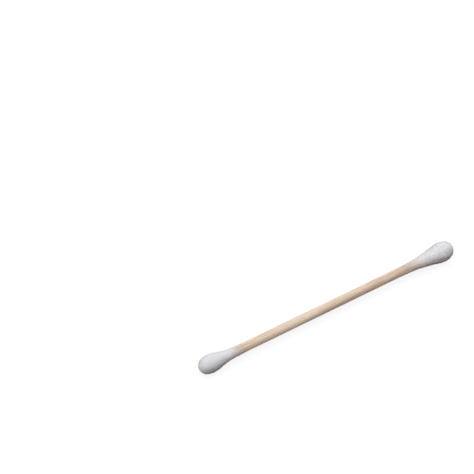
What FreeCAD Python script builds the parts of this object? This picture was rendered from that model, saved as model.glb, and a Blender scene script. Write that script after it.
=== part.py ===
import FreeCAD, Part
import math
import os

# A double-ended cotton swab: a round wooden stick with a bud of cotton wound on each end.
#
# The swab lies on its two buds, as it comes to rest on a table. X runs along it from the slim
# blunt bud to the full tapered one, and Z is up. The origin is on the table, below the middle
# of the stick. All lengths are in millimetres.

# The whole swab and its stick.
OVERALL_LENGTH = 75.0
STICK_DIAMETER = 2.4
STICK_END_CHAMFER = 0.2
COTTON_OVER_STICK_END = 1.8

# The cotton thins out on the stick to a film, and the table presses a small flat on each bud.
COTTON_FILM = 0.08
PRESSED_DEPTH = 0.1

# Each bud in turn. The belly is its widest ring and the length ends where the film stops, both
# measured from the bud's outer tip. The tip radius rounds its end, and the shoulder radius is
# how gently it starts to narrow from the belly.
LEFT_DIAMETER = 4.55
LEFT_BELLY = 2.9
LEFT_LENGTH = 10.0
LEFT_TIP_RADIUS = 2.1
LEFT_SHOULDER_RADIUS = 9.0

RIGHT_DIAMETER = 5.2
RIGHT_BELLY = 3.6
RIGHT_LENGTH = 14.4
RIGHT_TIP_RADIUS = 2.3
RIGHT_SHOULDER_RADIUS = 7.5

stick_radius = STICK_DIAMETER / 2
neck_radius = stick_radius + COTTON_FILM
left_radius = LEFT_DIAMETER / 2
right_radius = RIGHT_DIAMETER / 2
left_tip_x = -OVERALL_LENGTH / 2
right_tip_x = OVERALL_LENGTH / 2
left_belly_x = left_tip_x + LEFT_BELLY
right_belly_x = right_tip_x - RIGHT_BELLY

# The fuller bud holds its end of the swab a little higher, so the axis climbs towards it.
climb = math.atan2(right_radius - left_radius, right_belly_x - left_belly_x)
left_belly_height = left_radius * math.cos(climb) - PRESSED_DEPTH
middle_height = left_belly_height - left_belly_x * math.sin(climb)

ORIGIN = FreeCAD.Vector(0, 0, 0)
ALONG = FreeCAD.Vector(1, 0, 0)
ACROSS = FreeCAD.Vector(0, 1, 0)
UP = FreeCAD.Vector(0, 0, 1)


def arc_edge(centre, radius, start, end):
    """An arc in the XZ plane about an (x, z) centre, between two angles from +X towards +Z."""
    points = []
    for angle in (start, (start + end) / 2, end):
        x = centre[0] + radius * math.cos(angle)
        z = centre[1] + radius * math.sin(angle)
        points.append(FreeCAD.Vector(x, 0, z))
    return Part.Arc(*points).toShape()


def straight_edge(start, end):
    """A straight edge between two (x, z) points."""
    return Part.makeLine(FreeCAD.Vector(start[0], 0, start[1]), FreeCAD.Vector(end[0], 0, end[1]))


def wound_cotton(radius, belly, length, tip_radius, shoulder_radius):
    """One bud turned about X, with its tip at the origin and its neck towards +X.

    Its half outline is four arcs, each tangent to the next: the tip, a side that is level at
    the belly, the shoulder, and the hollow neck, which is level again where it meets the stick.
    """
    # The side arc is centred straight below the belly and touches the tip arc from outside.
    side_radius = (belly**2 + radius**2 - 2 * belly * tip_radius) / (2 * (radius - tip_radius))
    tip_centre = (tip_radius, 0)
    side_centre = (belly, radius - side_radius)
    tip_to_side = math.atan2(-side_centre[1], tip_radius - belly)

    # Shoulder and neck turn down and back by one angle, found from the drop over the run.
    drop = radius - neck_radius
    run = length - belly
    turn = 2 * math.atan2(drop, run)
    neck_hollow_radius = run / math.sin(turn) - shoulder_radius
    shoulder_centre = (belly, radius - shoulder_radius)
    hollow_centre = (length, neck_radius + neck_hollow_radius)
    level = math.pi / 2

    outline = [
        arc_edge(tip_centre, tip_radius, math.pi, tip_to_side),
        arc_edge(side_centre, side_radius, tip_to_side, level),
        arc_edge(shoulder_centre, shoulder_radius, level, level - turn),
        arc_edge(hollow_centre, neck_hollow_radius, -level - turn, -level),
        straight_edge((length, neck_radius), (length, 0)),
        straight_edge((length, 0), (0, 0)),
    ]
    return Part.Face(Part.Wire(outline)).revolve(ORIGIN, ALONG, 360)


def dowel():
    """The round stick, cut square and lightly chamfered, hidden in the cotton at both ends."""
    length = OVERALL_LENGTH - 2 * COTTON_OVER_STICK_END
    start = FreeCAD.Vector(left_tip_x + COTTON_OVER_STICK_END, 0, 0)
    plain = Part.makeCylinder(stick_radius, length, start, ALONG)
    end_circles = [edge for edge in plain.Edges if edge.Closed and edge.Length > STICK_DIAMETER]
    return plain.makeChamfer(STICK_END_CHAMFER, end_circles)


def laid_down(shape):
    """A copy turned by the climb and lifted, so that both bellies press into the table alike."""
    resting = shape.copy()
    resting.rotate(ORIGIN, ACROSS, -math.degrees(climb))
    resting.translate(UP * middle_height)
    return resting


def pressed_flat(bud):
    """The bud without what would reach below the table, which leaves its small resting flat."""
    reach = 2 * OVERALL_LENGTH
    corner = FreeCAD.Vector(-reach / 2, -reach / 2, -reach)
    table = Part.makeBox(reach, reach, reach, corner)
    return bud.cut(table)


stick = dowel()

left_bud = wound_cotton(
    left_radius, LEFT_BELLY, LEFT_LENGTH, LEFT_TIP_RADIUS, LEFT_SHOULDER_RADIUS
)
left_bud.translate(ALONG * left_tip_x)

right_bud = wound_cotton(
    right_radius, RIGHT_BELLY, RIGHT_LENGTH, RIGHT_TIP_RADIUS, RIGHT_SHOULDER_RADIUS
)
right_bud.rotate(ORIGIN, UP, 180)
right_bud.translate(ALONG * right_tip_x)

# The cotton is wound straight on the stick, so the stick itself cuts each bud's blind socket.
pieces = {
    "wooden_stick": laid_down(stick),
    "cotton_bud_left": pressed_flat(laid_down(left_bud.cut(stick))),
    "cotton_bud_right": pressed_flat(laid_down(right_bud.cut(stick))),
}

os.makedirs("parts", exist_ok=True)
for name, shape in pieces.items():
    shape.exportStep(f"parts/{name}.step")
    print(f"{name}: {len(shape.Solids)} solid, valid {shape.isValid()}, {shape.Volume:.2f} mm3")
print(f"the axis climbs {math.degrees(climb):.3f} degrees and is {middle_height:.3f} up at its middle")
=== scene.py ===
# %% [markdown]
# # A double-ended cotton swab
#
# The object is one household cotton swab: a thin round birch stick with a bud of cotton wound on
# each end. One bud is fuller than the other, and each thins out to a film of fibres on the wood.
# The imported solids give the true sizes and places, and this lesson dresses them. It measures
# them, sets the camera and the light, works the wood, the cotton and the loose fibres out as
# surfaces with numpy, and gives each its finish.

# %% Load the frame
import math
from types import SimpleNamespace

import bpy
import numpy as np
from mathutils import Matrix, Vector


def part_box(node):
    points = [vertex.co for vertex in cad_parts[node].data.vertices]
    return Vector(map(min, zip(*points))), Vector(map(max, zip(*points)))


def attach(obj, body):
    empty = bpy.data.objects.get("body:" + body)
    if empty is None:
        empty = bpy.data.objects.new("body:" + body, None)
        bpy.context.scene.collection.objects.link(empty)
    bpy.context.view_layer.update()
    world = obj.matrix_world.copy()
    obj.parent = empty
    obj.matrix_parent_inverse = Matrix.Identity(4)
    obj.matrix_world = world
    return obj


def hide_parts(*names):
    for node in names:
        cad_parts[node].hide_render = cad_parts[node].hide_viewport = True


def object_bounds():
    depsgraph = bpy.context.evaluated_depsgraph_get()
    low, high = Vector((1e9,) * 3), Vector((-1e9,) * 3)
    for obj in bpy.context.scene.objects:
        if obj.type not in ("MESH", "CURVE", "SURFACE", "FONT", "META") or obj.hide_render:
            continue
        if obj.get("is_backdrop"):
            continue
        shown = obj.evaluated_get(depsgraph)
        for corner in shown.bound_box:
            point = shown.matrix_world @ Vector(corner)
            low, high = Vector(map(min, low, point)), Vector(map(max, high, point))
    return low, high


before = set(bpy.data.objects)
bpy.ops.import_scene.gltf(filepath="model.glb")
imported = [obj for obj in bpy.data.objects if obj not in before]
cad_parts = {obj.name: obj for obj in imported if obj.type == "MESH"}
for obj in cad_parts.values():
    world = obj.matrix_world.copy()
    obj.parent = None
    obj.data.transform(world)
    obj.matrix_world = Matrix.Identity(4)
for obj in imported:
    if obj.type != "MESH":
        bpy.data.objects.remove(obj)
cad_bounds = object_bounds()

# %% [markdown]
# ## Sizes
#
# Lengths are written in millimetres, the unit a swab is made in, and turn into metres only when a
# surface goes into Blender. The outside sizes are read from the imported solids. The few values
# that a box can't give, such as where a bud is widest, are the solids' own and are named here.

# %% Measure the stick
MM = 0.001
STICK_END_CHAMFER = 0.2
COTTON_OVER_STICK_END = 1.8
COTTON_FILM = 0.08


def corners(node):
    """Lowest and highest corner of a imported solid, in millimetres."""
    return [np.array(corner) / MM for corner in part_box(node)]


stick_low, stick_high = corners("wooden_stick")
stick_radius = (stick_high[1] - stick_low[1]) / 2
neck_radius = stick_radius + COTTON_FILM
print(f"the stick is {2 * stick_radius:.2f} mm thick and {stick_high[0] - stick_low[0]:.1f} mm long")


# %% Measure the two buds
def measured_bud(node, towards_tip, belly, tip_radius, shoulder_radius):
    """One bud's sizes. The belly is its widest ring, as a distance from the tip.

    towards_tip is -1 where the tip is the bud's lowest x, and +1 where it is its highest.
    """
    low, high = corners(node)
    tip_x = high[0] if towards_tip > 0 else low[0]
    return SimpleNamespace(
        node=node,
        towards_tip=towards_tip,
        tip_x=tip_x,
        radius=(high[1] - low[1]) / 2,
        length=high[0] - low[0],
        top=high[2],
        belly=belly,
        belly_x=tip_x - towards_tip * belly,
        tip_radius=tip_radius,
        shoulder_radius=shoulder_radius,
    )


left_bud = measured_bud(
    "cotton_bud_left", towards_tip=-1, belly=2.9, tip_radius=2.1, shoulder_radius=9.0
)
right_bud = measured_bud(
    "cotton_bud_right", towards_tip=1, belly=3.6, tip_radius=2.3, shoulder_radius=7.5
)
for bud in (left_bud, right_bud):
    print(f"{bud.node} is {2 * bud.radius:.2f} mm thick and {bud.length:.2f} mm long")

# %% [markdown]
# ## How it lies
#
# The fuller bud holds its end a little higher, so the stick climbs towards it by about a quarter
# of a degree. A bud's top is one radius above the axis at its belly, which gives two points of the
# axis, and with them the climb. Turning the finished objects would be simpler, but an exported
# object has to sit at the origin, unturned. So every piece is worked out in the stick's own frame,
# with x along it, and one function lays its points down.

# %% Lay the swab down
left_belly_height = left_bud.top - left_bud.radius
right_belly_height = right_bud.top - right_bud.radius
climb = math.atan2(right_belly_height - left_belly_height, right_bud.belly_x - left_bud.belly_x)
middle_height = left_belly_height - left_bud.belly_x * math.tan(climb)
print(f"the axis climbs {math.degrees(climb):.3f} degrees and is {middle_height:.3f} mm up halfway")


def laid_down(points):
    """Points of the stick's own frame, where the swab rests.

    x becomes x cos(climb) - z sin(climb). z becomes x sin(climb) + z cos(climb) + middle height.
    """
    x, y, z = np.moveaxis(points, -1, 0)
    lying_x = x * math.cos(climb) - z * math.sin(climb)
    lying_z = x * math.sin(climb) + z * math.cos(climb) + middle_height
    return np.stack([lying_x, y, lying_z], axis=-1)


# %% [markdown]
# ## Camera
#
# The swab is seen from the left of its front and from well above, through a long lens. Both ends
# of the swab, the widths of the two buds and the slope of the stick in the picture fix these
# values. The camera aims at a point of the table behind the swab, which puts the swab in the
# lower right of the picture.

# %% Set the camera
IMAGE_SIDE = 474
FOCAL_LENGTH_IN_PIXELS = 1400
CAMERA_AZIMUTH = math.radians(-30.42)
CAMERA_ELEVATION = math.radians(50)
CAMERA_DISTANCE = 367.8
CAMERA_AIM = Vector((-7.65, 32.87, 0))
NEAREST_SEEN = 10
FARTHEST_SEEN = 20000

camera_data = bpy.data.cameras.new("camera")
camera_data.lens = camera_data.sensor_width * FOCAL_LENGTH_IN_PIXELS / IMAGE_SIDE
camera_data.clip_start = NEAREST_SEEN * MM
camera_data.clip_end = FARTHEST_SEEN * MM
camera = bpy.data.objects.new("camera", camera_data)
bpy.context.scene.collection.objects.link(camera)

towards_camera = Vector((
    math.sin(CAMERA_AZIMUTH) * math.cos(CAMERA_ELEVATION),
    -math.cos(CAMERA_AZIMUTH) * math.cos(CAMERA_ELEVATION),
    math.sin(CAMERA_ELEVATION),
))
camera.location = (CAMERA_AIM + CAMERA_DISTANCE * towards_camera) * MM
camera.rotation_mode = "QUATERNION"
camera.rotation_quaternion = (-towards_camera).to_track_quat("-Z", "Y")
bpy.context.scene.camera = camera
bpy.context.scene.view_settings.view_transform = "Standard"
print(f"the lens is {camera_data.lens:.1f} mm")

# %% [markdown]
# ## Nodes and colours
#
# One helper adds a shader node, fills its sockets and links it, so that a material reads as a
# list of what it mixes. Colours are written as sRGB hex, as a colour card gives them, and one
# function turns them to the linear values that Blender works with.


# %% Help with nodes
def linear(hex_colour):
    """An sRGB hex colour as a linear RGBA list.

    A channel up to 0.04045 is divided by 12.92. Above, it is ((c + 0.055) / 1.055) ** 2.4.
    """
    channels = [int(hex_colour[place : place + 2], 16) / 255 for place in (1, 3, 5)]
    return [c / 12.92 if c <= 0.04045 else ((c + 0.055) / 1.055) ** 2.4 for c in channels] + [1]


def add(tree, kind, sockets=None, **settings):
    """Adds a shader node. A socket's value is either a constant or another node's output."""
    node = tree.nodes.new("ShaderNode" + kind)
    for name, value in settings.items():
        setattr(node, name, value)
    for name, value in (sockets or {}).items():
        if isinstance(value, bpy.types.NodeSocket):
            tree.links.new(value, node.inputs[name])
        else:
            node.inputs[name].default_value = value
    return node


def empty_material(name):
    """A new material with nothing in its node tree but the output."""
    material = bpy.data.materials.new(name)
    material.use_nodes = True
    material.node_tree.nodes.clear()
    return material, material.node_tree, add(material.node_tree, "OutputMaterial")


WHITE = linear("#FFFFFF")
print(f"a grey card of #808080 is {linear('#808080')[0]:.3f} in linear light")

# %% [markdown]
# ## Light and floor
#
# The swab lies on a white sheet under one broad soft panel, as in a light tent: the panel reaches
# far out past both ends and leans a little to the left and to the back. So the light fades slowly
# round the buds and is dim only below. Two small warm cards stand out past the ends of the swab
# and light the tips that the panel only grazes, and a faint warm dome fills in from all round.
# Together they leave a white surface that faces up just under white.
#
# The camera sees plain white behind the swab. Stronger lamps could make it white, but they would
# burn the cotton out. So the dome and the floor ask the Light Path node what kind of ray meets
# them, and show white only to rays that picture them.


# %% Hang the dome
def pictured(tree):
    """1 for camera, mirrored and refracted rays, which picture a thing, and 0 for rays of light."""
    rays = add(tree, "LightPath").outputs
    largest = rays["Is Camera Ray"]
    for kind in ("Is Glossy Ray", "Is Transmission Ray"):
        largest = add(tree, "Math", {0: largest, 1: rays[kind]}, operation="MAXIMUM").outputs[0]
    return largest


DOME_BRIGHTNESS = 0.03
DOME_COLOUR = linear("#FFD6C4")

world = bpy.data.worlds.new("soft_dome")
world.use_nodes = True
bpy.context.scene.world = world
tree = world.node_tree
tree.nodes.clear()
dome = add(tree, "Background", {"Color": DOME_COLOUR, "Strength": DOME_BRIGHTNESS})
backdrop = add(tree, "Background", {"Color": WHITE, "Strength": 1})
sky = add(tree, "MixShader", {0: pictured(tree), 1: dome.outputs[0], 2: backdrop.outputs[0]})
add(tree, "OutputWorld", {"Surface": sky.outputs[0]})
print(f"the dome gives {DOME_BRIGHTNESS:.0%} of white")

# %% Hang the panel and the side cards
PANEL_HALF_LENGTH = 1200
PANEL_HALF_WIDTH = 560
PANEL_DISTANCE = 600
PANEL_LEAN_LEFT = math.radians(7)
PANEL_LEAN_BACK = math.radians(3.5)
PANEL_SHARE = 0.92
PANEL_COLOUR = linear("#FAFCFF")[:3]
CARD_RADIUS = 250
CARD_DISTANCE = 500
CARD_TURN = math.radians(90)
LEFT_CARD_SHARE = 0.11
RIGHT_CARD_SHARE = 0.12
CARD_COLOUR = linear("#FFF6EC")[:3]


def hang(name, half_sides, distance, turn, share_of_white, colour):
    """Hangs an elliptic lamp that faces the swab's middle, turned away from overhead.

    A matte white surface that faces a lamp of half sides a and b and of brightness L from distance
    d shows L a b / sqrt((a^2 + d^2) (b^2 + d^2)). That is set to share_of_white. A lamp that
    sends power P has a brightness of P / (pi * area).
    """
    a, b = half_sides
    seen_share = a / math.hypot(a, distance) * b / math.hypot(b, distance)
    data = bpy.data.lights.new(name, "AREA")
    data.shape = "ELLIPSE"
    data.size = 2 * a * MM
    data.size_y = 2 * b * MM
    data.color = colour
    data.energy = share_of_white / seen_share * math.pi * (math.pi * a * b * MM**2)
    lamp = bpy.data.objects.new(name, data)
    bpy.context.scene.collection.objects.link(lamp)
    lamp.rotation_euler = turn
    lamp.location = lamp.rotation_euler.to_matrix() @ Vector((0, 0, distance * MM))
    print(f"{name} gives {data.energy:.2f} W")


hang("soft_panel", (PANEL_HALF_LENGTH, PANEL_HALF_WIDTH), PANEL_DISTANCE,
     (-PANEL_LEAN_BACK, -PANEL_LEAN_LEFT, 0), PANEL_SHARE, PANEL_COLOUR)
hang("left_card", (CARD_RADIUS, CARD_RADIUS), CARD_DISTANCE,
     (0, -CARD_TURN, 0), LEFT_CARD_SHARE, CARD_COLOUR)
hang("right_card", (CARD_RADIUS, CARD_RADIUS), CARD_DISTANCE,
     (0, CARD_TURN, 0), RIGHT_CARD_SHARE, CARD_COLOUR)

# %% [markdown]
# Part of what is pictured of the floor glows, and part is a matte surface that the lamps light, so
# the swab's soft shadow stays. The floor sends light back up as a warm, rather dark surface would.
# It lies a hair below the swab, so that no two surfaces share a place.

# %% Lay the floor
FLOOR_HALF_SIDE = 300
FLOOR_DROP = 0.02
FLOOR_GLOW = 0.86
FLOOR_SHOWN = linear("#767676")
FLOOR_BOUNCE = linear("#5B4436")

corner_signs = np.array([[-1, -1], [1, -1], [1, 1], [-1, 1]])
floor_points = np.column_stack([corner_signs * FLOOR_HALF_SIDE, np.full(4, -FLOOR_DROP)])
floor_mesh = bpy.data.meshes.new("floor")
floor_mesh.from_pydata((floor_points * MM).tolist(), [], [[0, 1, 2, 3]])
floor = bpy.data.objects.new("floor", floor_mesh)
bpy.context.scene.collection.objects.link(floor)

material, tree, output = empty_material("white_sheet")
glow = add(tree, "Emission", {"Color": WHITE, "Strength": FLOOR_GLOW})
shown = add(tree, "BsdfDiffuse", {"Color": FLOOR_SHOWN})
sheet_pictured = add(tree, "AddShader", {0: glow.outputs[0], 1: shown.outputs[0]})
bounce = add(tree, "BsdfDiffuse", {"Color": FLOOR_BOUNCE})
sheet = add(tree, "MixShader",
            {0: pictured(tree), 1: bounce.outputs[0], 2: sheet_pictured.outputs[0]})
tree.links.new(sheet.outputs[0], output.inputs["Surface"])
floor.data.materials.append(material)
floor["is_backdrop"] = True
print(f"the floor is {2 * FLOOR_HALF_SIDE} mm wide")

# %% [markdown]
# ## Surfaces from rings
#
# The stick and each bud are turned forms, so both are grids of rings: one parameter runs along
# the axis, the other round it. A turned form could also be a curve with a Screw modifier, but
# then every ring would be a perfect circle. Working the grid out in numpy lets each point have a
# height of its own.


# %% Join rings into a closed skin
def rings_round_axis(x, radius, angle):
    """Points (x, radius cos(angle), radius sin(angle)) of the stick's own frame."""
    parts = np.broadcast_arrays(x, radius * np.cos(angle), radius * np.sin(angle))
    return np.stack(parts, axis=-1)


def skin_faces(ring_count, around):
    """Point numbers of the four-sided faces between rings, and of the fans that close both ends.

    Point j of ring i has the number around * i + j, and next to the last j comes the first. The
    middles of the two ends have the last two numbers.
    """
    here = np.arange(around)
    beside = (here + 1) % around
    row = around * np.arange(ring_count - 1)[:, None]
    quads = np.stack([row + here, row + beside, row + around + beside, row + around + here], axis=-1)
    middle = np.full(around, ring_count * around)
    last = around * (ring_count - 1)
    first_fan = np.column_stack([middle, beside, here])
    last_fan = np.column_stack([last + here, last + beside, middle + 1])
    return [quads.reshape(-1, 4), first_fan, last_fan]


def skin_map(ring_count, around):
    """Where those faces' corners lie on a flat map: the angle across and the rings up, 0 to 1."""
    here = np.arange(around)
    up = np.arange(ring_count - 1)[:, None] + np.zeros(around)
    across = np.zeros((ring_count - 1, 1)) + here
    quads = np.stack([across, up, across + 1, up, across + 1, up + 1, across, up + 1], axis=-1)
    low = np.zeros(around)
    high = np.full(around, ring_count - 1.0)
    first_fan = np.column_stack([here + 0.5, low, here + 1, low, here, low])
    last_fan = np.column_stack([here, high, here + 1, high, here + 0.5, high])
    maps = [quads.reshape(-1, 4, 2), first_fan.reshape(-1, 3, 2), last_fan.reshape(-1, 3, 2)]
    return [part / [around, ring_count - 1] for part in maps]


def closed_skin(name, rings, inside_out=False):
    """A closed mesh object through rings[i, j], point j of ring i, in millimetres.

    The middle of an end is the mean of its ring. inside_out turns every face round, for rings that
    run the other way along the axis.
    """
    ring_count, around = rings.shape[:2]
    points = np.concatenate([rings.reshape(-1, 3), rings[:1].mean(axis=1), rings[-1:].mean(axis=1)])
    parts = skin_faces(ring_count, around)
    maps = skin_map(ring_count, around)
    if inside_out:
        parts = [part[:, ::-1] for part in parts]
        maps = [part[:, ::-1] for part in maps]
    faces = [face for part in parts for face in part.tolist()]
    flat_map = np.concatenate([part.reshape(-1, 2) for part in maps])

    mesh = bpy.data.meshes.new(name)
    mesh.from_pydata((points * MM).tolist(), [], faces)
    mesh.polygons.foreach_set("use_smooth", np.ones(len(faces), dtype=bool))
    mesh.uv_layers.new(name="OFBake").data.foreach_set("uv", flat_map.ravel())
    mesh.update()
    piece = bpy.data.objects.new(name, mesh)
    bpy.context.scene.collection.objects.link(piece)
    triangles = 2 * len(parts[0]) + 2 * around
    print(f"{name}: {ring_count} rings of {around} points, {triangles} triangles")
    return piece


# %% [markdown]
# ## Uneven surfaces
#
# Nothing here is smooth or perfectly round: the wood has its grain and the cotton its bundles of
# fibre. Such a relief is a sum of many cosine waves of random direction. Each wave goes a whole
# number of times round the stick, so that the relief has no seam. Blender's Displace modifier with
# a noise texture could do it too, but it can't stretch the pattern along fibres that wind round a
# form.


# %% Make relief out of waves
def random_widths(random, widths, count):
    """Random wave spacings between the widest and the narrowest, in millimetres, and heights.

    The spacings are spread evenly over their logarithm. Wider waves are higher, in step with their
    width, and all the waves together have a mean square of one.
    """
    widest, narrowest = widths
    width = np.exp(random.uniform(math.log(narrowest), math.log(widest), count))
    return width, width / math.sqrt(np.sum(width**2) / 2)


def ridge_waves(random, widths, lay, spread, count):
    """Waves for ridges that run round the form, each as (along rate, around rate, start, height).

    A wave of spacing w turns 2 pi / w radians per millimetre along the axis. It turns lay / w
    times round the axis, give or take the spread and rounded to a whole number, so that lay is how
    far a ridge runs along the axis in one turn.
    """
    width, height = random_widths(random, widths, count)
    around = np.round(lay / width + spread * random.standard_normal(count))
    start = random.uniform(0, 2 * math.pi, count)
    return np.column_stack([2 * math.pi / width, around, start, height])


def clump_waves(random, widths, radius, count):
    """Waves for lumps that are as wide as they are long, on a form of about that radius.

    A wave of spacing w that heads at angle h turns 2 pi cos(h) / w radians per millimetre along
    the axis and 2 pi radius sin(h) / w times round it, rounded to a whole number.
    """
    width, height = random_widths(random, widths, count)
    heading = random.uniform(0, math.pi, count)
    along = 2 * math.pi / width * np.cos(heading)
    around = np.round(2 * math.pi * radius / width * np.sin(heading))
    start = random.uniform(0, 2 * math.pi, count)
    return np.column_stack([along, around, start, height])


def relief(wave_set, along, angle):
    """The sum of height * cos(along_rate * along + around_rate * angle + start) over the waves."""
    total = np.zeros(np.broadcast(along, angle).shape)
    for along_rate, around_rate, start, height in wave_set:
        total += height * np.cos(along_rate * along + around_rate * angle + start)
    return total


# %% [markdown]
# ## The stick
#
# A swab's stick is a birch dowel: it is shaved round from a strip and tumbled smooth. What is left
# is a faint lengthwise grain. A plain cylinder would look the same from afar, but its edge would
# be too straight close by. So the surface is a tube whose radius dips by a few thousandths of a
# millimetre along long narrow grooves. It only ever dips, so it never cuts into the cotton.

# %% Turn the stick
STICK_RINGS = 420
STICK_AROUND = 144
GRAIN_SEED = 5
GRAIN_COUNT = 60
GRAIN_LENGTHS = (60.0, 9.0)
GRAIN_TURNS = 26
GRAIN_DEPTH = 0.004
GRAIN_REACH = 1.5

between_chamfers = np.linspace(
    stick_low[0] + STICK_END_CHAMFER, stick_high[0] - STICK_END_CHAMFER, STICK_RINGS
)
stick_x = np.concatenate([stick_low[:1], between_chamfers, stick_high[:1]])[:, None]
stick_profile = np.full(stick_x.shape, stick_radius)
stick_profile[[0, -1]] -= STICK_END_CHAMFER
stick_angle = np.linspace(0, 2 * math.pi, STICK_AROUND, endpoint=False)

# A groove is far narrower than it is long, so its turns round the stick are drawn by themselves.
stick_random = np.random.default_rng(GRAIN_SEED)
grain = ridge_waves(stick_random, GRAIN_LENGTHS, 0, 0, GRAIN_COUNT)
grain[:, 1] = np.round(stick_random.normal(0, GRAIN_TURNS, GRAIN_COUNT))

# A dip is about GRAIN_DEPTH on average, and between nothing and twice that everywhere.
dips = np.clip(GRAIN_REACH + relief(grain, stick_x, stick_angle), 0, 2 * GRAIN_REACH)
dipped = stick_profile - GRAIN_DEPTH * dips / GRAIN_REACH
stick_rings = rings_round_axis(stick_x, dipped, stick_angle)
stick = closed_skin("birch_stick", laid_down(stick_rings))

# %% [markdown]
# ## The outline of a bud
#
# Half a bud's outline is four arcs, each tangent to the next: the round tip, the side that is
# level at the belly, the shoulder, and the hollow neck that runs out on the stick. The packed
# solid has the same four arcs. A drawn curve could look alike, but arcs need only a few sizes
# that can be measured.


# %% Work out the outline
def outline(bud, along):
    """The bud's radius at a distance along from its tip.

    The side's centre is below the belly, at the radius that touches the tip arc. The shoulder and
    the neck turn down and back by the same angle, twice that of the line from belly to neck.
    """
    tip, belly, radius, shoulder = bud.tip_radius, bud.belly, bud.radius, bud.shoulder_radius
    side = (belly**2 + radius**2 - 2 * belly * tip) / (2 * (radius - tip))
    touch = tip + tip * math.cos(math.atan2(side - radius, tip - belly))
    run = bud.length - belly
    turn = 2 * math.atan2(radius - neck_radius, run)
    hollow = run / math.sin(turn) - shoulder
    bend = belly + shoulder * math.sin(turn)

    def height(arc, centre):
        return np.sqrt(np.maximum(arc**2 - (along - centre) ** 2, 0))

    return np.select(
        [along < touch, along < belly, along < bend, along < bud.length],
        [
            height(tip, tip),
            radius - side + height(side, belly),
            radius - shoulder + height(shoulder, belly),
            neck_radius + hollow - height(hollow, bud.length),
        ],
        neck_radius,
    )


for bud in (left_bud, right_bud):
    places = np.linspace(0, bud.length, 6)
    print(f"{bud.node} from tip to neck:", np.round(2 * outline(bud, places), 2), "mm thick")

# %% [markdown]
# ## The cotton of a bud
#
# A bud is wound: the stick spins while it picks up a loose ribbon of fibres, and a warm damp mould
# rolls it firm. So four things lie over each other on the outline: the broad turns of the ribbon,
# the fine bundles of fibre that follow those turns, soft clumps, and at the tip a small swirl where
# the fibres were folded over the stick's end. Sculpting could give such lumps, but hardly the even
# winding. So each of the four is a wave or a sum of waves along and round the bud.

# %% Draw the waves of each bud
TURN_PITCH = 1.7
BUNDLE_WIDTHS = (0.5, 0.16)
BUNDLE_SPREAD = 1.0
BUNDLE_COUNT = 110
CLUMP_WIDTHS = (2.0, 0.5)
CLUMP_COUNT = 40
WANDER_WIDTHS = (9.0, 4.0)
WANDER_COUNT = 8
EDGE_LOBES = np.arange(2, 11)
DIMPLE_OFF_CENTRE = 0.25
LEFT_SEED = 11
RIGHT_SEED = 23

for bud, seed in ((left_bud, LEFT_SEED), (right_bud, RIGHT_SEED)):
    bud.random = random = np.random.default_rng(seed)
    bud.bundles = ridge_waves(random, BUNDLE_WIDTHS, -TURN_PITCH, BUNDLE_SPREAD, BUNDLE_COUNT)
    bud.clumps = clump_waves(random, CLUMP_WIDTHS, bud.radius, CLUMP_COUNT)
    bud.wander = clump_waves(random, WANDER_WIDTHS, bud.radius, WANDER_COUNT)
    lobe_start = random.uniform(0, 2 * math.pi, EDGE_LOBES.size)
    bud.edge = np.column_stack([0 * EDGE_LOBES, EDGE_LOBES, lobe_start, EDGE_LOBES**-0.5])
    bud.fold_start = random.uniform(0, 2 * math.pi)
    bud.dimple_place = random.uniform(-DIMPLE_OFF_CENTRE, DIMPLE_OFF_CENTRE, 2)
    print(f"{bud.node} has {len(bud.bundles)} bundle waves and {len(bud.clumps)} clump waves")

# %% [markdown]
# The last turn of the ribbon ends in a slanting edge on the neck. Past it there is only a thin film
# of fibres, which ends in a ragged edge on the wood. A bud keeps three distances from its tip:
# where wood begins to show through, where the ribbon's last turn ends and where the film ends.

# %% Thin the cotton out on the neck
EDGE_STEP = 0.15
EDGE_RUN = 0.5
EDGE_SLANT = 0.4
FILM_THINNING = 0.6
FILM_RAGGED = 0.4

left_bud.shows_from, left_bud.ribbon_end, left_bud.film_end = 7.4, 9.2, 12.2
right_bud.shows_from, right_bud.ribbon_end, right_bud.film_end = 7.2, 10.7, 15.2


def smooth_step(value):
    """0 below 0, 1 above 1, and 3 v^2 - 2 v^3 between."""
    v = np.clip(value, 0, 1)
    return v * v * (3 - 2 * v)


def edges(bud, angle):
    """Where the ribbon's last turn and the film end, as distances from the tip.

    The ribbon's edge slants as a cosine of the angle. The film's edge is ragged by a sum of waves
    that is cut off at 2, and so stays within FILM_RAGGED of its place.
    """
    ribbon = bud.ribbon_end + EDGE_SLANT * np.cos(angle - bud.fold_start)
    film = bud.film_end + FILM_RAGGED * np.clip(relief(bud.edge, 0, angle), -2, 2) / 2
    return ribbon, film


def cotton_share(bud, along, angle):
    """Share of the outline's thickness that the cotton fills: all of it up to the ribbon's edge,
    then one step less and ever less on the film, and nothing past the film's end."""
    ribbon, film = edges(bud, angle)
    step = 1 - EDGE_STEP * smooth_step((along - ribbon) / EDGE_RUN)
    fade = 1 - FILM_THINNING * smooth_step((along - ribbon) / (film - ribbon))
    return np.where(along < film, step * fade, 0)


def cotton_depth(bud, along, angle):
    """Distance from the cotton's surface to the stick inside: hypot of the gaps along and across."""
    beyond = np.maximum(COTTON_OVER_STICK_END - along, 0)
    over = np.maximum(outline(bud, along) - stick_radius, 0)
    return np.hypot(beyond, over) * cotton_share(bud, along, angle)


for bud in (left_bud, right_bud):
    depths = cotton_depth(bud, np.array([bud.ribbon_end, bud.film_end - 1]), 0)
    print(f"{bud.node}:", np.round(depths, 3), "mm of cotton at the ribbon's edge and on the film")

# %% [markdown]
# The relief is full where the cotton is deep and fades out where it is thin. Near the tip the
# turns, bundles and clumps give way to the folds of the swirl and to a soft dimple.

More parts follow.
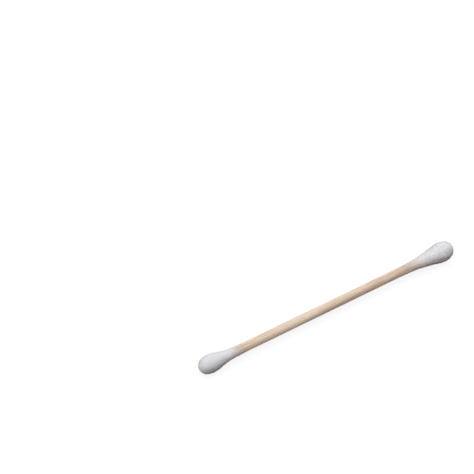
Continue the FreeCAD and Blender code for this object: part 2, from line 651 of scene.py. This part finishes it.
# %% Raise the cotton's relief
TURN_HEIGHT = 0.01
TURN_WANDER = 0.9
BUNDLE_HEIGHT = 0.004
CLUMP_HEIGHT = 0.008
OUT_OF_ROUND = 0.02
FOLD_COUNT = 7
FOLD_DEPTH = 0.011
FOLD_TWIST = 0.9
DIMPLE_DEPTH = 0.03
DIMPLE_RADIUS = 0.45
SWIRL_RADIUS = 0.25
WINDING_RADIUS = 1.1
FULL_RELIEF_DEPTH = 0.6


def wound_side(bud, along, angle):
    """Height of the turns, bundles, clumps and slow bumps.

    A turn of the ribbon is sin(v) + sin(2 v) / 3 of v, the angle plus 2 pi along / pitch, which
    wanders a little. The others are sums of waves.
    """
    wander = relief(bud.wander, along, angle)
    v = angle + 2 * math.pi * along / TURN_PITCH + TURN_WANDER * wander
    turns = TURN_HEIGHT * (np.sin(v) + np.sin(2 * v) / 3)
    bundles = BUNDLE_HEIGHT * relief(bud.bundles, along, angle)
    clumps = CLUMP_HEIGHT * relief(bud.clumps, along, angle)
    out_of_round = OUT_OF_ROUND * wander * smooth_step(outline(bud, along) / WINDING_RADIUS)
    return turns + bundles + clumps + out_of_round


def folded_tip(bud, along, angle):
    """Heights of the swirl and of the dimple at the tip.

    A fold is a cosine of the angle twisted by the radius, and the dimple a bell of the distance
    from its place.
    """
    radius = outline(bud, along)
    twisted = FOLD_COUNT * (angle + FOLD_TWIST * radius) + bud.fold_start
    folds = FOLD_DEPTH * smooth_step(radius / WINDING_RADIUS) * np.cos(twisted)
    from_dimple = np.hypot(radius * np.cos(angle) - bud.dimple_place[0],
                           radius * np.sin(angle) - bud.dimple_place[1])
    return folds, -DIMPLE_DEPTH * np.exp(-((from_dimple / DIMPLE_RADIUS) ** 2))


def wound_relief(bud, along, angle):
    """Height of the wound cotton over its outline, in millimetres.

    Up to the belly it goes from the swirl over to the winding by a smooth step of the radius.
    """
    side = wound_side(bud, along, angle)
    folds, dimple = folded_tip(bud, along, angle)
    before_belly = along < bud.belly
    zone = (outline(bud, along) - SWIRL_RADIUS) / (WINDING_RADIUS - SWIRL_RADIUS)
    side_share = np.where(before_belly, smooth_step(zone), 1)
    full = np.clip(cotton_depth(bud, along, angle) / FULL_RELIEF_DEPTH, 0, 1)
    return full * (side_share * side + (1 - side_share) * folds + np.where(before_belly, dimple, 0))


def cotton_point(bud, along, angle, lift=0.0):
    """Points of the cotton's surface, or of the bare wood past its edge, in the stick's frame.

    The outline's slope d radius / d along gives its normal, and a point moves out along it by
    the relief and the lift.
    """
    nudge = 0.01
    slope = np.arctan2(outline(bud, along + nudge) - outline(bud, along - nudge), 2 * nudge)
    out = wound_relief(bud, along, angle) + lift
    radius = outline(bud, along)
    radius = radius - (radius - stick_radius) * (1 - cotton_share(bud, along, angle))
    x = bud.tip_x - bud.towards_tip * (along - np.sin(slope) * out)
    return rings_round_axis(x, radius + np.cos(slope) * out, angle)


# %% [markdown]
# The bud is a closed skin: its outside runs from the tip to the ragged edge, turns in there, and
# goes back along the stick to the blind end of the socket. The socket is a hair wider than the
# stick, so wood and cotton never share a surface. Where the soft cotton lies on the table it is
# pressed to a flat of about two millimetres. A cloth simulation could press it, but for so small
# a flat one formula is enough.

# %% Place the rings of a bud
BUD_RINGS = 296
BUD_AROUND = 296
OUTLINE_STEPS = 4000
RAGGED_RUN = 3
SHORT_OF_END = 1e-6
PRESS_SOFTNESS = 0.05


def ring_places(bud, last, count):
    """Distances from the tip, up to the last, that space rings evenly along the outline."""
    dense = last * np.linspace(0, 1, OUTLINE_STEPS) ** 2
    steps = np.hypot(np.diff(dense), np.diff(outline(bud, dense)))
    run = np.concatenate([[0], np.cumsum(steps)])
    return np.interp(np.linspace(0, run[-1], count + 1)[1:], run, dense)


def outside_places(bud, angle):
    """Distances from the tip of all the outside's points, up to just short of the film's end.

    Over the last stretch the rings go over by a smooth step to the shape of the ragged edge.
    """
    plain = ring_places(bud, bud.film_end, BUD_RINGS)[:, None]
    near_end = smooth_step((plain - (bud.film_end - RAGGED_RUN)) / RAGGED_RUN)
    ragged = edges(bud, angle)[1] - bud.film_end
    return plain + ragged * near_end - SHORT_OF_END


def pressed(points):
    """Points with what would reach below the table pressed up to it.

    z becomes half the sum of z and hypot(z, softness), which is above zero for every z and
    hardly changes what is well above the table.
    """
    x, y, z = np.moveaxis(points, -1, 0)
    return np.stack([x, y, (z + np.hypot(z, PRESS_SOFTNESS)) / 2], axis=-1)


# %% Wind the two buds
SOCKET_RINGS = 8
SOCKET_GAP = 0.003


def store(piece, name, values):
    """Keeps one number for each point of a piece, for its material to read."""
    attribute = piece.data.attributes.new(name, "FLOAT", "POINT")
    attribute.data.foreach_set("value", np.asarray(values, dtype=np.float32).ravel())


def wound_bud(bud, name):
    """One bud as a closed skin. Each point keeps its relief and how much wood shows through: a
    smooth step from where the wood begins to show up to the film's end."""
    angle = np.linspace(0, 2 * math.pi, BUD_AROUND, endpoint=False)
    along = outside_places(bud, angle)
    end = edges(bud, angle)[1]
    outside = cotton_point(bud, along, angle)

    back = np.linspace(1, 0, SOCKET_RINGS)[:, None]
    socket_along = COTTON_OVER_STICK_END + (end - COTTON_OVER_STICK_END) * back
    socket_x = bud.tip_x - bud.towards_tip * socket_along
    socket = rings_round_axis(socket_x, stick_radius + SOCKET_GAP, angle)
    rings = pressed(laid_down(np.concatenate([outside, socket])))
    piece = closed_skin(name, rings, inside_out=bud.towards_tip > 0)

    shows = smooth_step((along - bud.shows_from) / (end - bud.shows_from))
    height = wound_relief(bud, along, angle)
    socket_and_middles = np.zeros(SOCKET_RINGS * BUD_AROUND + 2)
    store(piece, "wood_shows", np.concatenate([shows.ravel(), socket_and_middles]))
    store(piece, "cotton_relief", np.concatenate([height.ravel(), socket_and_middles]))
    return piece


left_cotton = wound_bud(left_bud, "wound_cotton_left")
right_cotton = wound_bud(right_bud, "wound_cotton_right")

# %% [markdown]
# ## Loose fibres
#
# Cotton is never a hard shell. Thousands of fibres lie over each other on it, and some stand off
# as fuzz. Particle hair would be quick, but it isn't a mesh and is lost when the object is
# exported. So each fibre is a thin three-sided tube along a path on the cotton's surface, and all
# of them are worked out together as arrays. A real fibre is about 0.018 mm thick. These are
# drawn a little thicker, because thinner ones would vanish between the picture's pixels.

# %% Draw fibres as thin tubes
FIBRE_POINTS = 12
FIBRE_SIDES = 3
FIBRE_END_SHARE = 0.33


def tube_rings(paths, up, widths):
    """Points rings[fibre, point, side] round paths[fibre, point].

    At each point the ring's two directions are the side, path direction times up, and the top, the
    side times the path direction. The tube tapers to its end share, as the root of a half sine.
    """
    direction = np.gradient(paths, axis=1)
    direction /= np.linalg.norm(direction, axis=-1, keepdims=True)
    side = np.cross(direction, up)
    side /= np.linalg.norm(side, axis=-1, keepdims=True)
    top = np.cross(side, direction)

    half_sine = np.sin(math.pi * np.linspace(0, 1, paths.shape[1])).clip(0)
    taper = FIBRE_END_SHARE + (1 - FIBRE_END_SHARE) * np.sqrt(half_sine)
    radius = (widths[:, None] * taper / 2)[..., None, None]
    turn = np.linspace(0, 2 * math.pi, FIBRE_SIDES, endpoint=False)[:, None]
    spokes = np.cos(turn) * top[:, :, None] + np.sin(turn) * side[:, :, None]
    return paths[:, :, None] + radius * spokes


def tube_faces(count, steps):
    """Point numbers of the tubes' four-sided faces, and of the triangles that close their ends."""
    first = (np.arange(count) * steps * FIBRE_SIDES)[:, None, None]
    ring = first + (np.arange(steps - 1) * FIBRE_SIDES)[None, :, None]
    here = np.arange(FIBRE_SIDES)
    beside = (here + 1) % FIBRE_SIDES
    following = ring + FIBRE_SIDES
    quads = np.stack([ring + here, following + here, following + beside, ring + beside], axis=-1)
    start_caps = first[:, 0] + here
    end_caps = first[:, 0] + (steps - 1) * FIBRE_SIDES + here[::-1]
    return quads.reshape(-1, 4).tolist() + start_caps.tolist() + end_caps.tolist()


def fibre_tubes(name, paths, up, widths, kinds):
    """One mesh of closed thin tubes. kinds gives the material slot of each fibre."""
    count, steps = paths.shape[:2]
    points = tube_rings(paths, up, widths).reshape(-1, 3)
    faces = tube_faces(count, steps)
    sides_in_all = (steps - 1) * FIBRE_SIDES

    mesh = bpy.data.meshes.new(name)
    mesh.from_pydata((points * MM).tolist(), [], faces)
    mesh.polygons.foreach_set("use_smooth", np.ones(len(faces), dtype=bool))
    of_face = np.concatenate([np.repeat(kinds, sides_in_all), kinds, kinds])
    mesh.polygons.foreach_set("material_index", of_face.astype(np.int32))
    mesh.update()
    piece = bpy.data.objects.new(name, mesh)
    bpy.context.scene.collection.objects.link(piece)
    print(f"{name}: {count} fibres, {2 * count * (sides_in_all + 1)} triangles")
    return piece


# %% [markdown]
# A fibre's path starts at a place on the cotton and heads mostly round it, with the winding. The
# heading drifts as it goes. Fibres are spread over the deep cotton evenly and are rarer on the
# thin film.

# %% Lay a path on the cotton
START_STEPS = 2000
FILM_FIBRES = 0.05
FIBRE_CROWDING = 1.5
LEAST_ALONG = 0.02
LEAST_RADIUS = 0.35


def fibre_starts(bud, count, first, last):
    """Random places between two distances from the tip.

    The chance of a place is in step with its radius times the share of the full relief's depth
    that the cotton has there, at least FILM_FIBRES, to the power FIBRE_CROWDING.
    """
    dense = np.linspace(first, last, START_STEPS)
    depth_share = np.clip(cotton_depth(bud, dense, 0) / FULL_RELIEF_DEPTH, FILM_FIBRES, 1)
    chance = np.cumsum(outline(bud, dense) * depth_share**FIBRE_CROWDING)
    along = np.interp(bud.random.uniform(chance[0], chance[-1], count), chance, dense)
    return along, bud.random.uniform(0, 2 * math.pi, count)


def fibre_paths(bud, start, heading, bend, length, lift):
    """Paths over the cotton, as points and the directions that face away from the axis there.

    Going a step with heading h moves step * sin(h) along the axis and step * cos(h) / radius round
    it. The heading grows by bend over the whole length. lift is the height at each point. A path
    that meets the tip turns back there, and goes round no radius under LEAST_RADIUS.
    """
    along, angle = start
    part = np.linspace(-0.5, 0.5, FIBRE_POINTS)
    turned = heading[:, None] + bend[:, None] * part
    step = (length / FIBRE_POINTS)[:, None]
    path_along = along[:, None] + np.cumsum(step * np.sin(turned), axis=1)
    path_along = np.abs(path_along) + LEAST_ALONG
    radius = np.maximum(outline(bud, path_along), LEAST_RADIUS)
    path_angle = angle[:, None] + np.cumsum(step * np.cos(turned) / radius, axis=1)
    points = laid_down(cotton_point(bud, path_along, path_angle, lift))
    return pressed(points), rings_round_axis(0, 1, path_angle)


# %% [markdown]
# A lying fibre hugs the surface and dips under it at both ends. A stray one arches off it, or ends
# in the air with a curl. On the neck the last fibres run out over the film's edge on the wood, at a
# slant to one side or the other.

# %% Choose the lying fibres
LYING_COUNT = 1300
LYING_FROM = 0.15
LYING_BEFORE_END = 0.5
LYING_TILT = math.radians(-7)
LYING_SPREAD = math.radians(14)
LYING_BEND = 0.5
LYING_LENGTHS = (1.6, 5.5)
LYING_HEIGHTS = (0.002, 0.022)
ROOT_DEPTH = 0.02

fibre_part = np.linspace(0, 1, FIBRE_POINTS)
arch = np.sin(math.pi * fibre_part)


def rooted(height, rise):
    """The lift from ROOT_DEPTH under the surface, where rise is 0, to the height, where it is 1."""
    return -ROOT_DEPTH + (ROOT_DEPTH + height[:, None]) * rise


def lying_fibres(bud):
    """Paths of the fibres that lie on the bud. They rise as the root of a half sine."""
    random = bud.random
    start = fibre_starts(bud, LYING_COUNT, LYING_FROM, bud.film_end - LYING_BEFORE_END)
    heading = LYING_TILT + LYING_SPREAD * random.standard_normal(LYING_COUNT)
    bend = random.normal(0, LYING_BEND, LYING_COUNT)
    length = random.uniform(*LYING_LENGTHS, LYING_COUNT)
    height = random.uniform(*LYING_HEIGHTS, LYING_COUNT)
    return fibre_paths(bud, start, heading, bend, length, rooted(height, np.sqrt(arch.clip(0))))


# %% Choose the stray fibres
STRAY_COUNT = 300
STRAY_FROM = 0.1
STRAY_BEFORE_END = 1
STRAY_BEND = 2.2
STRAY_HEIGHT = 0.09
STRAY_TALLEST = 0.42
STRAY_STRETCH = (2.5, 6)
STRAY_SHORTEST = 0.3
FREE_END_SHARE = 0.45
FREE_END_RISE = 1.4


def stray_fibres(bud):
    """Paths of the fibres that stand off the bud, most of them by little and a few by more.

    One with a free end rises as a power of how far along it is, and the others as a half sine.
    """
    random = bud.random
    start = fibre_starts(bud, STRAY_COUNT, STRAY_FROM, bud.film_end - STRAY_BEFORE_END)
    heading = random.uniform(-math.pi, math.pi, STRAY_COUNT)
    bend = random.normal(0, STRAY_BEND, STRAY_COUNT)
    height = np.minimum(random.exponential(STRAY_HEIGHT, STRAY_COUNT), STRAY_TALLEST)
    length = height * random.uniform(*STRAY_STRETCH, STRAY_COUNT) + STRAY_SHORTEST
    ends_free = random.uniform(0, 1, (STRAY_COUNT, 1)) < FREE_END_SHARE
    rise = np.where(ends_free, fibre_part**FREE_END_RISE, arch)
    return fibre_paths(bud, start, heading, bend, length, rooted(height, rise))


# %% Choose the neck's fibres
NECK_COUNT = 150
NECK_BEFORE_END = 3
NECK_PAST_END = 0.2
NECK_SLANT = math.radians(35)
NECK_SPREAD = math.radians(22)
NECK_BEND = 0.8
NECK_LENGTHS = (1.0, 3.2)
NECK_HEIGHTS = (0.012, 0.045)
NECK_LIFT = 0.004


def neck_fibres(bud):
    """Paths of the fibres that run out over the film's edge, each a low arch over the wood."""
    random = bud.random
    start = fibre_starts(bud, NECK_COUNT, bud.film_end - NECK_BEFORE_END, bud.film_end + NECK_PAST_END)
    heading = random.normal(NECK_SLANT, NECK_SPREAD, NECK_COUNT)
    heading *= random.choice([-1, 1], NECK_COUNT)
    bend = random.normal(0, NECK_BEND, NECK_COUNT)
    length = random.uniform(*NECK_LENGTHS, NECK_COUNT)
    height = random.uniform(*NECK_HEIGHTS, NECK_COUNT)
    return fibre_paths(bud, start, heading, bend, length, NECK_LIFT + height[:, None] * arch)


# %% Spin the loose fibres of both buds
FIBRE_WIDTH = 0.025
FIBRE_WIDTH_SHARES = (0.7, 1.25)

# Each tone of fibre, with the share of the fibres that have it.
FIBRE_TONES = {
    "cotton_fibre_bleached": ("#F8F7FA", 0.6),
    "cotton_fibre_greyer": ("#EEECF2", 0.25),
    "cotton_fibre_creamy": ("#F5F0EA", 0.15),
}
tone_shares = [part for _, part in FIBRE_TONES.values()]


def loose_fibres(bud, name):
    """All the loose fibres of one bud as one piece, each with its width and its tone."""
    groups = [lying_fibres(bud), stray_fibres(bud), neck_fibres(bud)]
    paths = np.concatenate([points for points, _ in groups])
    away = np.concatenate([directions for _, directions in groups])
    widths = FIBRE_WIDTH * bud.random.uniform(*FIBRE_WIDTH_SHARES, len(paths))
    kinds = bud.random.choice(len(tone_shares), len(paths), p=tone_shares)
    return fibre_tubes(name, paths, away, widths, kinds)


left_fibres = loose_fibres(left_bud, "loose_fibres_left")
right_fibres = loose_fibres(right_bud, "loose_fibres_right")

# %% [markdown]
# ## Birch
#
# The stick is birch, a pale close-grained wood, shaved round and tumbled without any varnish. That
# gives the eye a warm straw colour with a hint of pink, a satin to matte surface, fine lighter and
# darker streaks along the grain, a few short darker pores, and slow changes of tone from end to
# end. A picture of wood would need a seam somewhere round the stick. So all of it is noise on
# Object coordinates, stretched along the stick.
#
# The size of each mark is that of the real one, along the grain and across it in millimetres. Only
# the fine streaks and the pores are drawn about twice as wide as they are, so that they show.

# %% Mix the colour of birch
STRAW = linear("#F0DDC5")
PINKISH = linear("#E2CAB4")
PALE = linear("#F6E8D7")
LATEWOOD = linear("#D0AF8D")
PORE = linear("#B48E68")

TONE_DRIFT = (14, 4)
GROWTH_BAND = (30, 0.9)
PALE_STREAK = (5, 0.28)
FINE_STREAK = (3, 0.12)
PORE_DASH = (1.1, 0.1)


def stick_millimetres(tree):
    """Object coordinates in millimetres, in the stick's own frame with x along the grain."""
    place = add(tree, "TexCoord").outputs["Object"]
    down = [-middle_height * math.sin(climb), 0, -middle_height * math.cos(climb)]
    mapping = add(tree, "Mapping", {"Vector": place, "Location": down,
                                    "Rotation": [0, climb, 0], "Scale": [1 / MM] * 3})
    return mapping.outputs[0]


def stretched_noise(tree, place, spot, detail=2.0):
    """Noise whose spots are about that long and wide, in millimetres."""
    along, across = spot
    mapping = add(tree, "Mapping", {"Vector": place, "Scale": [1 / along, 1 / across, 1 / across]})
    noise = add(tree, "TexNoise", {"Vector": mapping.outputs[0], "Scale": 1.0, "Detail": detail})
    return noise.outputs["Fac"]


def share(tree, value, start, end, most=1.0):
    """0 where value is start, most where it is end, and a smooth step between.

    Noise lies mostly between 0.3 and 0.7, so a mark that starts at 0.5 covers half of a surface.
    """
    ramp = add(tree, "MapRange", {"Value": value, "From Min": start, "From Max": end,
                                  "To Max": most}, interpolation_type="SMOOTHSTEP")
    return ramp.outputs["Result"]


def blended(tree, factor, first, second):
    """The first colour where factor is 0 and the second where it is 1.

    A Mix node of colours has its factor in socket 0, its colours in 6 and 7, and gives output 2.
    """
    mix = add(tree, "Mix", {0: factor, 6: first, 7: second}, data_type="RGBA")
    return mix.outputs[2]


def birch_colour(tree, place):
    """The wood's colour and its fine streaks: tone, growth bands, streaks, then pores."""
    drift = stretched_noise(tree, place, TONE_DRIFT, detail=1)
    colour = blended(tree, share(tree, drift, 0.35, 0.65), STRAW, PINKISH)
    band = stretched_noise(tree, place, GROWTH_BAND, detail=1)
    colour = blended(tree, share(tree, band, 0.45, 0.7, most=0.5), colour, LATEWOOD)
    streak = stretched_noise(tree, place, PALE_STREAK)
    colour = blended(tree, share(tree, streak, 0.5, 0.68, most=0.7), colour, PALE)
    fine = stretched_noise(tree, place, FINE_STREAK)
    colour = blended(tree, share(tree, fine, 0.52, 0.7, most=0.5), colour, LATEWOOD)
    pores = stretched_noise(tree, place, PORE_DASH, detail=0)
    colour = blended(tree, share(tree, pores, 0.7, 0.8, most=0.5), colour, PORE)
    return colour, fine


# %% Finish the stick
WOOD_MATTNESS = 0.6
WOOD_ROUGHEST = 0.62
WOOD_SMOOTHEST = 0.5
WOOD_IOR = 1.5
GRAIN_BUMP = 0.02
GRAIN_BUMP_SHARE = 0.25

birch, tree, output = empty_material("birch_shaved_and_tumbled")
colour, fine = birch_colour(tree, stick_millimetres(tree))
roughness = add(tree, "MapRange", {"Value": fine, "To Min": WOOD_ROUGHEST, "To Max": WOOD_SMOOTHEST})
bump = add(tree, "Bump",
           {"Height": fine, "Strength": GRAIN_BUMP_SHARE, "Distance": GRAIN_BUMP * MM})
wood = add(tree, "BsdfPrincipled", {
    "Base Color": colour, "Roughness": roughness.outputs["Result"],
    "Diffuse Roughness": WOOD_MATTNESS, "IOR": WOOD_IOR, "Normal": bump.outputs[0],
})
tree.links.new(wood.outputs[0], output.inputs["Surface"])
stick.data.materials.append(birch)
print(f"{birch.name} has {len(tree.nodes)} nodes")

# %% [markdown]
# ## Cotton
#
# The cotton is bleached and purified, so it is a cool white, and it is wound and felted without any
# gloss. Light goes a little way into it and comes out soft. The hollows between the bundles get a
# painted shade: their colour is drawn a shade darker, as shade would fall there. On the neck the film
# is thin enough for the birch to show through it, more and more towards the film's end and unevenly
# where fibres lie closer. The film could be a see-through surface over the wood, but mixing the two
# colours by the stored share costs no extra light paths.

# %% Mix the colour of cotton
COTTON_WHITE = linear("#F2F1F4")
# The darker colour below is painted shade for the hollows between the bundles, not a colour of the
# cotton.
COTTON_HOLLOW_SHADE = linear("#E2DEE1")
COTTON_CLOUD = linear("#ECEAEF")
CLOUD_SPOT = (1.6, 1.1)
FLUFF_SPOT = (0.35, 0.5)
HOLLOW_DEPTH = 0.035

cotton, tree, output = empty_material("cotton_bleached_and_wound")
place = stick_millimetres(tree)
shows = add(tree, "Attribute", attribute_name="wood_shows").outputs["Fac"]
height = add(tree, "Attribute", attribute_name="cotton_relief").outputs["Fac"]
cloud = stretched_noise(tree, place, CLOUD_SPOT)
fluff = stretched_noise(tree, place, FLUFF_SPOT, detail=4)
colour = blended(tree, share(tree, cloud, 0.4, 0.7, most=0.6), COTTON_WHITE, COTTON_CLOUD)
# Painted shade: where the stored relief dips below its mean, in hollows and the tip's dimple, the
# colour goes up to halfway to the darker shade colour.
hollow_shade_share = share(tree, height, 0.0, -HOLLOW_DEPTH, most=0.5)
colour = blended(tree, hollow_shade_share, colour, COTTON_HOLLOW_SHADE)

# The fluff breaks up the share of wood: it is raised to a power of 0.6 where the cotton is
# loosest and of 1.6 where it is closest, which leaves 0 and 1 as they are.
closeness = add(tree, "MapRange", {"Value": fluff, "From Min": 0.3, "From Max": 0.7,
                                   "To Min": 0.6, "To Max": 1.6}).outputs["Result"]
uneven = add(tree, "Math", {0: shows, 1: closeness}, operation="POWER").outputs[0]
wood_colour, _ = birch_colour(tree, place)
colour = blended(tree, uneven, colour, wood_colour)

# %% Finish the cotton
COTTON_ROUGHNESS = 0.95
COTTON_IOR = 1.4
COTTON_SPECULAR = 0.2
COTTON_SHEEN = 0.15
SHEEN_ROUGHNESS = 0.6
COTTON_SOAK = 0.12
SOAK_DEPTH = 0.4
SOAK_BY_COLOUR = [1.0, 0.9, 0.8]
FLUFF_BUMP = 0.03
FLUFF_BUMP_SHARE = 0.3

# The film takes on the wood's mattness, and light soaks only into the thick cotton.
mattness = add(tree, "Math", {0: shows, 1: WOOD_MATTNESS}, operation="MULTIPLY").outputs[0]
bump = add(tree, "Bump",
           {"Height": fluff, "Strength": FLUFF_BUMP_SHARE, "Distance": FLUFF_BUMP * MM})
fluffy = add(tree, "BsdfPrincipled", {
    "Base Color": colour, "Roughness": COTTON_ROUGHNESS, "Diffuse Roughness": mattness,
    "IOR": COTTON_IOR, "Specular IOR Level": COTTON_SPECULAR,
    "Sheen Weight": COTTON_SHEEN, "Sheen Roughness": SHEEN_ROUGHNESS,
    "Subsurface Weight": share(tree, shows, 0.5, 0.0, most=COTTON_SOAK),
    "Subsurface Radius": SOAK_BY_COLOUR, "Subsurface Scale": SOAK_DEPTH * MM,
    "Normal": bump.outputs[0],
})
tree.links.new(fluffy.outputs[0], output.inputs["Surface"])
for piece in (left_cotton, right_cotton):
    piece.data.materials.append(cotton)
print(f"{cotton.name} has {len(tree.nodes)} nodes")

# %% [markdown]
# Single fibres are too thin to carry a pattern, so each has one of three tones: bleached white,
# a slightly greyer one, and a faintly creamy one, as unbleached fibres stay.

# %% Finish the fibres
FIBRE_ROUGHNESS = 0.85
FIBRE_SPECULAR = 0.3

for name, (tone, _) in FIBRE_TONES.items():
    material, tree, output = empty_material(name)
    strand = add(tree, "BsdfPrincipled", {"Base Color": linear(tone), "Roughness": FIBRE_ROUGHNESS,
                                          "Specular IOR Level": FIBRE_SPECULAR})
    tree.links.new(strand.outputs[0], output.inputs["Surface"])
    left_fibres.data.materials.append(material)
    right_fibres.data.materials.append(material)
    print(f"{name} is {tone}")

# %% [markdown]
# ## The pieces on the body
#
# Each piece rides on the swab's one body and takes the place of its plain solid, which is hidden.
# The buds are soft and firmly packed.

# %% Tie the pieces to the frame
for piece in (stick, left_cotton, right_cotton, left_fibres, right_fibres):
    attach(piece, "root")
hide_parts("wooden_stick")
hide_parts("cotton_bud_left")
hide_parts("cotton_bud_right")

# %% Gather the sizes and print them
sizes = {
    "cad": [list(corner) for corner in cad_bounds],
    "visual": [list(corner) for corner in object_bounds()],
}
for name, (low, high) in sizes.items():
    print(name, [round((high[axis] - low[axis]) / MM, 2) for axis in range(3)])
